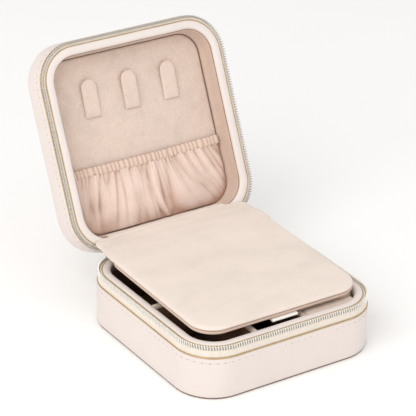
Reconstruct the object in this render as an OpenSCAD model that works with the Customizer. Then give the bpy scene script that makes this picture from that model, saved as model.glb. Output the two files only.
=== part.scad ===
// Travel jewelry box: zipped square case with a tray, a padded cover flap and a fitted lid.
// Millimetres. Origin: centre of the underside. +X right, +Y to the hinge, +Z up.
// The rest pose has the lid open and the padded flap lowered over the tray.

/* [Case] */
// outside width, left to right
body_w = 115; // [95:1:150]
// outside depth, front to hinge
body_d = 115; // [95:1:150]
// radius of the upright corners
corner_r = 22; // [16:0.5:28]
// height of the lower half, up to the parting plane
base_h = 30.5; // [26:0.5:45]
// height of the lid above the parting plane
lid_h = 18.5; // [16:0.5:30]
// opening angle of the lid in the rest pose, 0 is shut
lid_open = 115; // [0:1:118]

/* [Shell layers] */
// thickness of the leatherette cover
skin_t = 0.8; // [0.6:0.1:1.2]
// thickness of the greyboard shell
board_t = 2; // [1.5:0.1:3]
// distance from the parting plane to the outer piping
pipe_drop = 6.6; // [5.8:0.1:9]
// distance from the parting plane to the lid's outer piping
lid_pipe_drop = 4.6; // [4.2:0.1:9]
// radius of the outer gold piping
pipe_r = 0.35; // [0.25:0.05:0.6]
// width of the padded collar round the opening
collar_w = 4.6; // [3.5:0.1:6]
// rounding of the lid's top edge
lid_edge_r = 2; // [1:0.25:4]

/* [Zip] */
// thickness of the woven tape
tape_t = 0.5; // [0.4:0.05:0.8]
// thickness of the zip elements across the tape
tooth_d = 1.1; // [0.9:0.1:1.4]
// width of one zip element along the tape
tooth_w = 0.6; // [0.4:0.05:0.65]
// spacing of the zip elements
tooth_pitch = 1.42; // [1.3:0.02:2]
// length of the slider along the tape
slider_l = 7; // [6:0.5:8]
// height of the slider across both chains
slider_h = 6.6; // [5.8:0.1:6.8]
// place of the slider on the right rear corner, from the right side to the back
slider_a = 45; // [40:1:60]
// length of the metal pull
pull_l = 19; // [12:1:22]

/* [Tray] */
// thickness of the velvet covered dividers
div_t = 3; // [2:0.5:4]
// top of the dividers above the table
div_top = 29; // [24:0.5:29.5]
// centre of the left lengthways divider
div_a_x = -18; // [-25:0.5:-12]
// centre of the right lengthways divider
div_b_x = 12.5; // [8:0.5:20]
// centre of the short divider in the left bay
div_c_y = 0; // [-15:0.5:15]
// number of ring rolls in the right bay
roll_n = 6; // [4:1:8]
// thickness of one ring roll
roll_t = 9; // [8:0.5:10]
// top of the ring rolls above the table
roll_top = 28.2; // [24:0.2:28.8]

/* [Padded flap] */
// width of the flap
pad_w = 99.2; // [80:0.2:99.4]
// depth of the flap
pad_d = 96; // [80:0.5:96.5]
// corner radius of the flap
pad_r = 13.5; // [8:0.5:14]
// thickness of the flap with its velvet
pad_t = 4.4; // [3.5:0.1:5]
// downward slope of the flap toward the front
pad_tilt = 1; // [0:0.1:1.2]
// width of the pull tab under the front edge
tab_w = 15.5; // [10:0.5:20]

/* [Lid fittings] */
// depth of the lid cavity below the parting plane, lid shut
lid_cavity = 12.8; // [11:0.1:13]
// height of the hooks
hook_l = 21; // [15:0.5:24]
// width of the hooks
hook_w = 9.5; // [7:0.5:12]
// spacing of the hooks
hook_gap = 25; // [18:0.5:30]
// outward lean of the hooks at rest
hook_lean = 4.5; // [3:0.5:6]
// distance from the hinge line to the crease of the hooks
hook_foot = 72; // [60:1:78]
// distance from the hinge line to the top of the pocket hem
pocket_top = 46.5; // [38:0.5:55]
// height of the pocket hem
hem_h = 5.2; // [4:0.2:7]

/* [Hidden] */
$fn = 48;

hw = body_w / 2;
hd = body_d / 2;
shell_i = skin_t + board_t;          // inset of the shell's inner face
collar_i = shell_i + collar_w;       // inset of the collar's inner edge
tape_in = 0.3;                       // inset of the tape's outer face
board_top = base_h - 3.7;            // the slider's inner plate runs above this
tape_top = base_h - 2.3;
pipe_z = base_h - pipe_drop;
collar_top = base_h - 0.2;
collar_low = base_h - 6;
floor_z = skin_t + board_t;
floor_top = floor_z + 0.8;
wall_i = collar_i;                   // inset of the velvet wall of the tray
spine_hw = 33;                       // half width of the leather spine
chain_x = hw - corner_r;             // the chains end here on the back wall
n_side = floor((body_d - 2 * corner_r) / tooth_pitch);
n_front = floor((body_w - 2 * corner_r) / tooth_pitch);
tooth_rad = corner_r - tooth_d / 2;
n_corner = floor(tooth_rad * PI / 2 / tooth_pitch);
spine_z = 0.7;                       // height of the bead that carries the elements
pad_back_y = 47.6;                   // back edge of the flap
pad_back_z = 34;                     // underside of the flap at its back edge
pad_pin_z = pad_back_z + pad_t / 2;
lining_i = 7.7;                      // inset of the lid's velvet wall
panel_i = 9.4;                       // inset of the lid's back panel
slider_y = 0;                        // the slider is drawn on the right side, then turned
plate_in = 1.45;                     // inset of the slider's inner plate
plate_t = 0.85;
bail_x = hw + 2.2;
bail_r = 0.45;

leather = [0.93, 0.88, 0.86];
velvet = [0.87, 0.79, 0.73];
cream = [0.97, 0.94, 0.91];
gold = [0.80, 0.66, 0.42];
silver = [0.74, 0.73, 0.68];
tape_col = [0.90, 0.85, 0.77];
card = [0.55, 0.51, 0.47];

// ---------- shared shapes ----------

// Sweeps a section round the case. In the section, x is the distance outward from the
// outer face, so an inset is negative, and y is the height.
module around(w = body_w, d = body_d, r = corner_r) {
    for (k = [[1, 1, 0], [-1, 1, 90], [-1, -1, 180], [1, -1, 270]])
        translate([k[0] * (w / 2 - r), k[1] * (d / 2 - r), 0])
            rotate([0, 0, k[2]])
                rotate_extrude(angle = 90) translate([r, 0]) children();
    translate([w / 2, d / 2 - r, 0])
        rotate([90, 0, 0]) linear_extrude(d - 2 * r) children();
    translate([-w / 2, -(d / 2 - r), 0])
        rotate([0, 0, 180]) rotate([90, 0, 0]) linear_extrude(d - 2 * r) children();
    translate([-(w / 2 - r), d / 2, 0])
        rotate([0, 0, 90]) rotate([90, 0, 0]) linear_extrude(w - 2 * r) children();
    translate([w / 2 - r, -d / 2, 0])
        rotate([0, 0, 270]) rotate([90, 0, 0]) linear_extrude(w - 2 * r) children();
}

// a rectangle of the section between two insets and two heights
module band(i0, i1, z0, z1) {
    translate([-i1, z0]) square([i1 - i0, z1 - z0]);
}

// the case outline, moved inward, as a plate
module plate(inset, z0, z1, w = body_w, d = body_d, r = corner_r) {
    pw = w - 2 * inset;
    pd = d - 2 * inset;
    pr = r - inset;
    translate([0, 0, z0]) linear_extrude(z1 - z0) {
        square([pw - 2 * pr, pd], center = true);
        square([pw, pd - 2 * pr], center = true);
        for (sx = [-1, 1], sy = [-1, 1])
            translate([sx * (pw / 2 - pr), sy * (pd / 2 - pr)]) circle(pr);
    }
}

// mirrors a base part into the lid, still shut
module over() {
    translate([0, 0, 2 * base_h]) mirror([0, 0, 1]) children();
}

// swings a shut lid part open about the hinge line
module in_lid() {
    translate([0, hd, base_h])
        rotate([-lid_open, 0, 0])
            translate([0, -hd, -base_h]) children();
}

// a block across the middle of the back wall
module back_block(half, i0, i1, z0, z1) {
    translate([-half, hd - i1, z0]) cube([2 * half, i1 - i0, z1 - z0]);
}

// padded collar with a rounded inner edge and a step that carries the piping
module collar_section(i_in, low) {
    er = 1.2;
    band(shell_i, shell_i + 1.1, low, collar_top - 0.9);
    band(shell_i + 1.1, i_in - er, low, collar_top);
    band(shell_i + 1, i_in, low, collar_top - er);
    translate([-(i_in - er), collar_top - er]) circle(er);
}

// ---------- zip chain ----------

// comb outline: a bead with upright elements
function comb(n, p, ph, z0, z1, z2) = concat(
    [[0, z0], [0, z1]],
    [for (i = [0 : n - 1]) for (c = [[-1, 0], [-1, 1], [1, 1], [1, 0]])
        [(i + ph) * p + c[0] * tooth_w / 2, c[1] == 1 ? z2 : z1]],
    [[n * p, z1], [n * p, z0]]);

// one chain of the zip on the lower half; ph shifts it so two chains mesh
module chain(ph) {
    z0 = tape_top;
    z1 = z0 + spine_z;
    z2 = base_h + 0.5;
    ls = body_d - 2 * corner_r;
    lf = body_w - 2 * corner_r;
    translate([hw - tooth_d, -ls / 2, 0]) rotate([90, 0, 90])
        linear_extrude(tooth_d) polygon(comb(n_side, ls / n_side, ph, z0, z1, z2));
    translate([-hw, -ls / 2, 0]) rotate([90, 0, 90])
        linear_extrude(tooth_d) polygon(comb(n_side, ls / n_side, ph, z0, z1, z2));
    translate([-lf / 2, -hd + tooth_d, 0]) rotate([90, 0, 0])
        linear_extrude(tooth_d) polygon(comb(n_front, lf / n_front, ph, z0, z1, z2));
    for (k = [[1, 1, 0], [-1, 1, 90], [-1, -1, 180], [1, -1, 270]])
        translate([k[0] * (hw - corner_r), k[1] * (hd - corner_r), 0])
            rotate([0, 0, k[2]]) {
                rotate_extrude(angle = 90)
                    translate([corner_r, 0]) band(0, tooth_d, z0, z1);
                for (i = [0 : n_corner - 1])
                    rotate([0, 0, (i + ph) * 90 / n_corner])
                        translate([corner_r - tooth_d, -tooth_w / 2, z1 - 0.1])
                            cube([tooth_d - 0.02, tooth_w, z2 - z1 + 0.1]);
            }
}

// woven tape outside the shell, open across the back; drop is where its piping lies
module tape(drop) {
    difference() {
        around() band(tape_in, tape_in + tape_t, base_h - drop + pipe_r, tape_top);
        back_block(spine_hw + 1.2, -1, 8, 0, base_h + 2);
    }
}

// end stops on both ends of a chain
module stops() {
    for (s = [-1, 1])
        translate([s * (chain_x - 0.7) - 0.6, hd - tooth_d, tape_top])
            cube([1.2, tooth_d, 2.1]);
}

// ---------- lower half ----------

module base_tray_board() color(card) {
    difference() {
        plate(skin_t, skin_t, board_top);
        plate(shell_i, floor_z, board_top + 1);
    }
    back_block(spine_hw, skin_t, shell_i, board_top - 1, collar_top - 0.7);
}

module base_cover() color(leather) {
    around() band(0, skin_t, skin_t, pipe_z - pipe_r);
}

module base_bottom_cover() color(leather) {
    plate(0.35, 0, skin_t);
}

module base_outer_piping() color(gold) {
    around() translate([-pipe_r, pipe_z]) circle(pipe_r);
}

module base_zip_tape() color(tape_col) {
    tape(pipe_drop);
}

module base_zip_teeth() color(silver) {
    chain(0.25);
}

module base_zip_stops() color(silver) {
    stops();
}

module base_rim_collar() color(cream) {
    around() collar_section(collar_i, collar_low);
}

module base_inner_piping() color(gold) {
    around() translate([-(shell_i + 0.55), collar_top - 0.6]) circle(0.3);
}

module base_wall_lining() color(velvet) {
    around() band(shell_i, wall_i, floor_top, collar_low);
}

module base_floor_pad() color(velvet) {
    plate(shell_i, floor_z, floor_top);
}

// dividers reach from wall to wall and have rounded tops
module divider_left() color(velvet) {
    ly = body_d - 2 * collar_i;
    translate([div_a_x - div_t / 2, -ly / 2, floor_top])
        cube([div_t, ly, div_top - div_t / 2 - floor_top]);
    translate([div_a_x, ly / 2, div_top - div_t / 2])
        rotate([90, 0, 0]) cylinder(h = ly, r = div_t / 2);
}

module divider_right() color(velvet) {
    ly = body_d - 2 * collar_i;
    translate([div_b_x - div_t / 2, -ly / 2, floor_top])
        cube([div_t, ly, div_top - div_t / 2 - floor_top]);
    translate([div_b_x, ly / 2, div_top - div_t / 2])
        rotate([90, 0, 0]) cylinder(h = ly, r = div_t / 2);
}

module divider_left_bay() color(velvet) {
    x0 = -hw + collar_i;
    x1 = div_a_x - div_t / 2;
    translate([x0, div_c_y - div_t / 2, floor_top])
        cube([x1 - x0, div_t, div_top - div_t / 2 - floor_top]);
    translate([x0, div_c_y, div_top - div_t / 2])
        rotate([0, 90, 0]) cylinder(h = x1 - x0, r = div_t / 2);
}

module divider_right_bay() color(velvet) {
    x0 = div_b_x + div_t / 2;
    x1 = hw - collar_i;
    yc = -hd + collar_i + roll_n * roll_t + 0.3 + div_t / 2;
    translate([x0, yc - div_t / 2, floor_top])
        cube([x1 - x0, div_t, div_top - div_t / 2 - floor_top]);
    translate([x0, yc, div_top - div_t / 2])
        rotate([0, 90, 0]) cylinder(h = x1 - x0, r = div_t / 2);
}

// soft upright rolls side by side; the slots between them grip rings
module ring_rolls() color(velvet) {
    x0 = div_b_x + div_t / 2 + 0.2;
    rr = roll_t / 2 - 0.15;
    intersection() {
        for (i = [0 : roll_n - 1])
            translate([x0, -hd + collar_i + (i + 0.5) * roll_t + 0.1, 0]) {
                translate([0, 0, roll_top - rr])
                    rotate([0, 90, 0]) cylinder(h = hw - collar_i - 0.2 - x0, r = rr);
                translate([0, -rr, floor_top])
                    cube([hw - collar_i - 0.2 - x0, 2 * rr, roll_top - rr - floor_top]);
            }
        plate(collar_i + 0.2, floor_top, base_h);
    }
}

// leather spine: runs up the back, folds at the hinge line and goes on up the lid
function lid_pt(yl, zl) = [
    hd + yl * cos(lid_open) + zl * sin(lid_open),
    base_h - yl * sin(lid_open) + zl * cos(lid_open)];

module spine_leather() color(leather) {
    low = pipe_z + pipe_r;
    up = lid_pipe_drop - pipe_r;
    translate([-spine_hw, 0, 0]) rotate([90, 0, 90]) linear_extrude(2 * spine_hw)
        polygon([
            [hd - skin_t, low], [hd, low], [hd, base_h], lid_pt(0, up), lid_pt(-skin_t, up),
            lid_pt(-skin_t, -0.2), [hd - skin_t, base_h + 0.4]]);
}

// ---------- lid ----------

module lid_board() color(card) in_lid() {
    difference() {
        around_solid(skin_t, 2 * base_h - board_top, base_h + lid_h - skin_t, lid_edge_r - skin_t);
        plate(shell_i, base_h, base_h + lid_cavity + 2.9);
    }
    back_block(spine_hw, skin_t, shell_i, base_h + 0.9, base_h + 5);
}

// solid block with a rounded top edge
module around_solid(inset, z0, z1, er) {
    plate(inset, z0, z1 - er);
    plate(inset + er, z1 - er - 0.5, z1);
    around() translate([-(inset + er), z1 - er]) circle(er);
}

module lid_cover() color(leather) in_lid() {
    z_top = base_h + lid_h;
    difference() {
        around_solid(0, base_h + lid_pipe_drop + pipe_r, z_top, lid_edge_r);
        around_solid(skin_t, base_h, z_top - skin_t, lid_edge_r - skin_t);
    }
}

module lid_outer_piping() color(gold) in_lid() {
    over() around() translate([-pipe_r, base_h - lid_pipe_drop]) circle(pipe_r);
}

module lid_zip_tape() color(tape_col) in_lid() {
    over() tape(lid_pipe_drop);
}

module lid_zip_teeth() color(silver) in_lid() {
    over() chain(0.75);
}

module lid_zip_stops() color(silver) in_lid() {
    over() stops();
}

module lid_rim_collar() color(cream) in_lid() {
    over() around() collar_section(lining_i - 0.1, base_h - 5);
}

module lid_inner_piping() color(gold) in_lid() {
    over() around() translate([-(shell_i + 0.55), collar_top - 0.6]) circle(0.3);
}

// velvet wall of the lid: upright beside the flap, then sloping in to the panel
module lid_wall_lining() color(velvet) in_lid() {
    around() polygon([
        [-shell_i, base_h + 5], [-lining_i, base_h + 5], [-lining_i, base_h + 9],
        [-panel_i, base_h + lid_cavity], [-shell_i, base_h + lid_cavity]]);
}

module lid_back_panel() color(velvet) in_lid() {
    plate(shell_i, base_h + lid_cavity, base_h + lid_cavity + 2.9);
}

// gathered pocket: a thin front with closed sides and foot, open toward the hem
module pocket_panel() color(velvet) in_lid() {
    y1 = hd - panel_i - 0.4;
    y0 = hd - pocket_top + hem_h;
    half = hw - panel_i - 0.6;
    pz = base_h + lid_cavity;
    difference() {
        intersection() {
            translate([-half, y0, pz - 3.2]) cube([2 * half, y1 - y0, 3.2]);
            plate(panel_i + 0.4, base_h, pz);
        }
        intersection() {
            translate([-half + 1.5, y0 - 1, pz - 2]) cube([2 * half - 3, y1 - y0, 2.1]);
            plate(panel_i + 1.9, base_h, pz + 1);
        }
    }
}

module pocket_hem() color(velvet) in_lid() {
    y0 = hd - pocket_top;
    half = hw - panel_i - 0.6;
    pz = base_h + lid_cavity;
    difference() {
        union() {
            translate([-half, y0 + 1.1, pz - 3.4]) cube([2 * half, hem_h - 1.1, 2.2]);
            translate([-half, y0 + 1.1, pz - 2.3]) rotate([0, 90, 0])
                cylinder(h = 2 * half, r = 1.1);
            for (s = [-1, 1])
                translate([s * (half - 0.75) - 0.75, y0 + 1.1, pz - 1.3])
                    cube([1.5, hem_h - 1.1, 1.3]);
        }
        translate([-half - 1, y0 + 1, pz - 2.8]) cube([2 * half + 2, hem_h - 1.8, 1]);
    }
}

module pocket_elastic() color(cream) in_lid() {
    y0 = hd - pocket_top;
    half = hw - panel_i - 0.6;
    translate([-half, y0 + 1.1, base_h + lid_cavity - 2.75])
        cube([2 * half, hem_h - 2, 0.9]);
}

// hook: a stiff velvet tongue, creased at its foot and open behind its rounded top
module hook_at(x) in_lid() {
    translate([x, hd - hook_foot, base_h + lid_cavity - 0.05])
        rotate([hook_lean, 0, 0]) translate([0, 0, -1.6]) {
            translate([-hook_w / 2, -(hook_l - hook_w / 2), 0])
                cube([hook_w, hook_l - hook_w / 2, 1.6]);
            translate([0, -(hook_l - hook_w / 2), 0]) cylinder(h = 1.6, r = hook_w / 2);
        }
}

module hook_left() color(velvet) {
    hook_at(-hook_gap);
}

module hook_centre() color(velvet) {
    hook_at(0);
}

module hook_right() color(velvet) {
    hook_at(hook_gap);
}

// ---------- padded flap ----------

// flap parts are drawn flat, back edge on y = 0 and underside on z = 0
module in_pad() {
    translate([0, pad_back_y, pad_pin_z])
        rotate([pad_tilt, 0, 0])
            translate([0, 0, -pad_t / 2]) children();
}

module pad_plate(inset, z0, z1) {
    translate([0, -pad_d / 2, 0]) plate(inset, z0, z1, pad_w, pad_d, pad_r);
}

module pad_half(z0, z1, er) {
    difference() {
        union() {
            pad_plate(er, z0, z1);
            translate([0, -pad_d / 2, 0]) around(pad_w, pad_d, pad_r) intersection() {
                union() {
                    translate([-er, z0 < 1 ? er : z1 - er]) circle(er);
                    band(0, er, z0 < 1 ? er : z0, z0 < 1 ? z1 : z1 - er);
                }
                band(0, er, z0, z1);
            }
        }
        pad_plate(1, pad_t / 2 - 1, pad_t / 2 + 1);
    }
}

module pad_board() color(card) in_pad() {
    pad_plate(1, pad_t / 2 - 1, pad_t / 2 + 1);
}

module pad_top_cover() color(velvet) in_pad() {
    pad_half(pad_t / 2 + 0.1, pad_t, 1.3);
}

module pad_bottom_cover() color(velvet) in_pad() {
    pad_half(0, pad_t / 2 - 0.1, 1.3);
}

// folded leather tab under the front edge; only its fold shows
module pad_pull_tab() color(cream) in_pad() {
    translate([-tab_w / 2, -pad_d - 0.1, -1.65]) cube([tab_w, 6.1, 1.6]);
    translate([-tab_w / 2, -pad_d - 0.1, -0.85])
        rotate([0, 90, 0]) cylinder(h = tab_w, r = 0.8);
}

// soft strip that joins the flap to the back wall of the lid and fills the flap's rear corners
module pad_hinge_strip() color(velvet) {
    half = pad_w / 2 - 1;
    y0 = pad_back_y - pad_r - 1;
    difference() {
        intersection() {
            translate([-half, 0, 0]) rotate([90, 0, 90]) linear_extrude(2 * half)
                polygon([
                    [y0, pad_pin_z + 0.7], [y0, pad_pin_z + 1.8], [60.6, 38.25],
                    [64.5, 37.6], [67.6, 35.7], [67.2, 34.9], [64.2, 36.6], [60.6, 37.4]]);
            linear_extrude(60) polygon([
                [-half, y0], [half, y0], [half, y0 + 20], [half - 1.8, y0 + 24.5],
                [half - 6, 60.2], [half - 12, 60.7], [half - 13, 68], [13 - half, 68],
                [12 - half, 60.7], [6 - half, 60.2], [1.8 - half, y0 + 24.5], [-half, y0 + 20]]);
        }
        translate([0, pad_back_y + 0.02, pad_pin_z - 5])
            translate([0, -pad_d / 2, 0]) plate(-0.03, 0, 12, pad_w, pad_d, pad_r);
    }
}

// ---------- slider and pull ----------

// carries a part drawn at the middle of the right side onto the right rear corner
module on_corner() {
    translate([hw - corner_r, hd - corner_r, 0])
        rotate([0, 0, slider_a])
            translate([-(hw - corner_r), 0, 0]) children();
}

module zip_slider() color(gold) on_corner() {
    zc = base_h;
    for (x = [hw - plate_in - plate_t, hw + 0.15])
        translate([x, slider_y, zc]) rotate([0, 90, 0]) slider_plate(plate_t);
    translate([hw - plate_in - 0.4, slider_y - slider_l / 2 + 0.6, zc + 0.6])
        cube([plate_in + 1, 2, 0.8]);
    for (s = [-1, 1])
        translate([hw + 0.15 + plate_t - 0.2, slider_y + s * 2.7 - 0.5, zc - 0.7])
            cube([bail_x - hw - plate_t + 0.05, 1, 1.4]);
    for (s = [-1, 1])
        translate([bail_x, slider_y + s * 2.7 - 0.5, zc]) rotate([-90, 0, 0])
            cylinder(h = 1, r = 0.7);
    translate([bail_x, slider_y - 2.6, zc]) rotate([-90, 0, 0])
        cylinder(h = 5.2, r = bail_r);
}

// plate of the slider, drawn flat, its length along y
module slider_plate(t) {
    linear_extrude(t) {
        square([slider_h - 3, slider_l], center = true);
        square([slider_h, slider_l - 3], center = true);
        for (sx = [-1, 1], sy = [-1, 1])
            translate([sx * (slider_h / 2 - 1.5), sy * (slider_l / 2 - 1.5)]) circle(1.5);
    }
}

module zip_puller() color(gold) on_corner() {
    w = 4.4;
    difference() {
        union() {
            translate([bail_x, slider_y - w / 2, base_h]) rotate([-90, 0, 0])
                cylinder(h = w, r = 1);
            translate([bail_x - 0.45, slider_y - w / 2, base_h - 4])
                cube([0.9, w, 4]);
            translate([bail_x - 0.45, slider_y, base_h - pull_l + 3])
                rotate([0, 90, 0]) cylinder(h = 0.9, r = 3);
            translate([bail_x - 0.45, 0, 0]) rotate([90, 0, 90]) linear_extrude(0.9)
                polygon([
                    [slider_y - w / 2, base_h - 3.9], [slider_y + w / 2, base_h - 3.9],
                    [slider_y + 3, base_h - pull_l + 3], [slider_y - 3, base_h - pull_l + 3]]);
        }
        translate([bail_x, slider_y - w, base_h]) rotate([-90, 0, 0])
            cylinder(h = 2 * w, r = bail_r + 0.12);
        translate([bail_x - 2, slider_y, base_h - pull_l + 3])
            rotate([0, 90, 0]) cylinder(h = 4, r = 1.3);
    }
}

base_tray_board();
base_cover();
base_bottom_cover();
base_outer_piping();
base_zip_tape();
base_zip_teeth();
base_zip_stops();
base_rim_collar();
base_inner_piping();
base_wall_lining();
base_floor_pad();
divider_left();
divider_right();
divider_left_bay();
divider_right_bay();
ring_rolls();
spine_leather();
lid_board();
lid_cover();
lid_outer_piping();
lid_zip_tape();
lid_zip_teeth();
lid_zip_stops();
lid_rim_collar();
lid_inner_piping();
lid_wall_lining();
lid_back_panel();
pocket_panel();
pocket_hem();
pocket_elastic();
hook_left();
hook_centre();
hook_right();
pad_board();
pad_top_cover();
pad_bottom_cover();
pad_pull_tab();
pad_hinge_strip();
zip_slider();
zip_puller();
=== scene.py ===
"""Looks for the travel jewelry box: pieces are built in millimetres and scaled to metres."""
import math

import bmesh
import bpy
from mathutils import Matrix, Vector, noise


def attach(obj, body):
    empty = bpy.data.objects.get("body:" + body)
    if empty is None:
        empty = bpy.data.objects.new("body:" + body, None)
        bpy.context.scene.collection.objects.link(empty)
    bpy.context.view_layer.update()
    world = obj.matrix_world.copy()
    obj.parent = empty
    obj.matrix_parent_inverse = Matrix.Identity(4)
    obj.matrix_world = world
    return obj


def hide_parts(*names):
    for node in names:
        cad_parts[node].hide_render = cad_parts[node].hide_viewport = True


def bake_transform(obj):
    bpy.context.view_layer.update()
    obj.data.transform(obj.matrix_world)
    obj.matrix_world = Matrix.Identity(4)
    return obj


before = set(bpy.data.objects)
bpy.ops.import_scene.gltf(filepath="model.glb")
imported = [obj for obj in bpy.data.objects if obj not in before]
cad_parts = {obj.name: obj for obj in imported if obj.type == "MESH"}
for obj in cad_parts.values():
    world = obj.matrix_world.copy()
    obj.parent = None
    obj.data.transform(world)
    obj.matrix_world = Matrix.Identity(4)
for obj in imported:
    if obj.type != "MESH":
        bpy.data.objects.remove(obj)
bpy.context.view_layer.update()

# driving dimensions of the case, in millimetres
W = 115.0           # outside width and depth
R = 22.0            # radius of its upright corners
BASE_H = 30.5       # height of the parting plane
HALF = W / 2
OPEN = math.radians(115)
PANEL_Z = 43.3      # face of the lid's back panel, with the lid shut
FLAP_PIVOT = (0, 47.6, 36.2)
FLAP_PIVOT_Z = 2.2  # the same pivot's height above the flap's underside
FLAP_TILT = math.radians(1)

# pieces of the base are drawn in place, those of the lid as if it were shut, and those of the
# flap from the middle of its rear edge
M_BASE = Matrix.Identity(4)
M_LID = (Matrix.Translation((0, HALF, BASE_H)) @ Matrix.Rotation(-OPEN, 4, "X")
         @ Matrix.Translation((0, -HALF, -BASE_H)))
M_PAD = (Matrix.Translation(FLAP_PIVOT) @ Matrix.Rotation(FLAP_TILT, 4, "X")
         @ Matrix.Translation((0, 0, -FLAP_PIVOT_Z)))


# ---------------------------------------------------------------- materials

class Nodes:
    """A short way to build a node tree on a Principled shader."""

    def __init__(self, name, color, rough, **sockets):
        self.mat = bpy.data.materials.new(name)
        self.mat.use_nodes = True
        self.tree = self.mat.node_tree
        self.shader = self.tree.nodes["Principled BSDF"]
        self.shader.inputs["Base Color"].default_value = (*color, 1)
        self.shader.inputs["Roughness"].default_value = rough
        for k, v in sockets.items():
            self.shader.inputs[k.replace("_", " ")].default_value = v
        self.coord = self.tree.nodes.new("ShaderNodeTexCoord").outputs["Object"]

    def node(self, kind, links=None, **props):
        n = self.tree.nodes.new(kind)
        for k, v in props.items():
            setattr(n, k, v)
        for k, v in (links or {}).items():
            if isinstance(v, bpy.types.NodeSocket):
                self.tree.links.new(v, n.inputs[k])
            else:
                n.inputs[k].default_value = v
        return n

    def mapped(self, scale, rot=(0, 0, 0)):
        return self.node("ShaderNodeMapping", {"Vector": self.coord, "Scale": scale,
                                               "Rotation": rot}).outputs[0]

    def noise(self, scale, detail=4, rough=0.55, vec=None, distort=0.0):
        return self.node("ShaderNodeTexNoise", {"Vector": vec or self.coord, "Scale": scale,
                                                "Detail": detail, "Roughness": rough,
                                                "Distortion": distort}).outputs["Fac"]

    def ramp(self, fac, stops):
        n = self.node("ShaderNodeValToRGB", {"Fac": fac})
        el = n.color_ramp.elements
        while len(el) < len(stops):
            el.new(0.5)
        for e, (pos, col) in zip(el, stops):
            e.position = pos
            e.color = (*col, 1)
        return n.outputs["Color"]

    def mix(self, a, b, fac, mode="MIX"):
        n = self.node("ShaderNodeMix", data_type="RGBA", blend_type=mode)
        for sock, v in zip((n.inputs[0], n.inputs[6], n.inputs[7]), (fac, a, b)):
            if isinstance(v, bpy.types.NodeSocket):
                self.tree.links.new(v, sock)
            else:
                sock.default_value = v if sock == n.inputs[0] else (*v, 1)
        return n.outputs[2]

    def math(self, op, a, b=0.5):
        return self.node("ShaderNodeMath", {0: a, 1: b}, operation=op).outputs[0]

    def bump(self, height, dist, strength=1.0, normal=None):
        links = {"Height": height, "Distance": dist, "Strength": strength}
        if normal is not None:
            links["Normal"] = normal
        return self.node("ShaderNodeBump", links).outputs["Normal"]

    def out(self, color=None, normal=None, rough=None):
        for v, k in ((color, "Base Color"), (normal, "Normal"), (rough, "Roughness")):
            if v is not None:
                self.tree.links.new(v, self.shader.inputs[k])
        return self.mat


def shade(c, k):
    return tuple(min(1.0, v * k) for v in c)


def leather(name, color, grain=1.0, rough=0.46):
    """Embossed pebble over soft waves, with darker pores."""
    m = Nodes(name, color, rough, Specular_IOR_Level=0.42, Coat_Weight=0.06, Coat_Roughness=0.35)
    cells = m.node("ShaderNodeTexVoronoi", {"Vector": m.coord, "Scale": 1700.0},
                   feature="DISTANCE_TO_EDGE").outputs["Distance"]
    pebble = m.math("POWER", cells, 0.6)
    fine = m.noise(3800, 3)
    soft = m.noise(130, 4)
    mottle = m.noise(38, 5, 0.6)
    color_v = m.ramp(mottle, [(0.3, shade(color, 0.97)), (0.7, shade(color, 1.02))])
    pores = m.ramp(cells, [(0.0, (0.9, 0.88, 0.87)), (0.12, (1, 1, 1))])
    normal = m.bump(pebble, 0.00007 * grain, 0.55)
    normal = m.bump(fine, 0.00003 * grain, 0.4, normal)
    normal = m.bump(soft, 0.0003 * grain, 0.35, normal)
    r = m.node("ShaderNodeMapRange", {"Value": soft, "To Min": rough - 0.06, "To Max": rough + 0.09})
    return m.out(m.mix(color_v, pores, 0.6, "MULTIPLY"), normal, r.outputs[0])


def velvet(name, color, depth=0.10, streak=None, pile=1.0, rough=0.92, sheen=0.35, folds=None):
    """Pile crushed into lighter and darker patches. streak is a scale and turn of brushed marks,
    and folds is an upward direction, two heights along it, and the tints at those heights, which
    paint shade on what lies low and paint light on what rises high."""
    m = Nodes(name, color, rough, Specular_IOR_Level=0.15, Sheen_Weight=sheen,
              Sheen_Roughness=0.45, Sheen_Tint=(1.0, 0.97, 0.94, 1))
    broad = m.noise(34, 6, 0.62, distort=0.6)
    crush = m.noise(150, 5, 0.6)
    fac = m.math("ADD", m.math("MULTIPLY", broad, 0.62), m.math("MULTIPLY", crush, 0.38))
    if streak:
        brushed = m.noise(1.0, 5, 0.6, m.mapped(streak[0], streak[1]))
        fac = m.math("ADD", m.math("MULTIPLY", fac, 0.5), m.math("MULTIPLY", brushed, 0.5))
    col = m.ramp(fac, [(0.32, shade(color, 1 - depth)), (0.5, color), (0.68, shade(color, 1 + depth * 0.6))])
    fibre = m.noise(4200, 2, 0.7)
    nap = m.noise(1300, 4, 0.7)
    fleck = m.ramp(nap, [(0.3, (1 - 0.15 * pile,) * 3), (0.62, (1 + 0.05 * pile,) * 3)])
    normal = m.bump(fibre, 0.00009 * pile, 0.6)
    normal = m.bump(nap, 0.00022 * pile, 0.5, normal)
    col = m.mix(col, fleck, 0.7, "MULTIPLY")
    # painted shade and light: the colour darkens near a plane low among the folds and lightens higher up
    if folds:
        up, lo, hi, dark, light = folds
        rise = m.node("ShaderNodeVectorMath", {0: m.coord, 1: up}, operation="DOT_PRODUCT").outputs["Value"]
        span = m.node("ShaderNodeMapRange", {"Value": rise, "From Min": lo, "From Max": hi}).outputs[0]
        tint = m.ramp(span, [(0.0, dark), (0.45, (0.98, 0.96, 0.95)), (1.0, light)])
        col = m.mix(col, tint, 1.0, "MULTIPLY")
    return m.out(col, normal)


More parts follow.
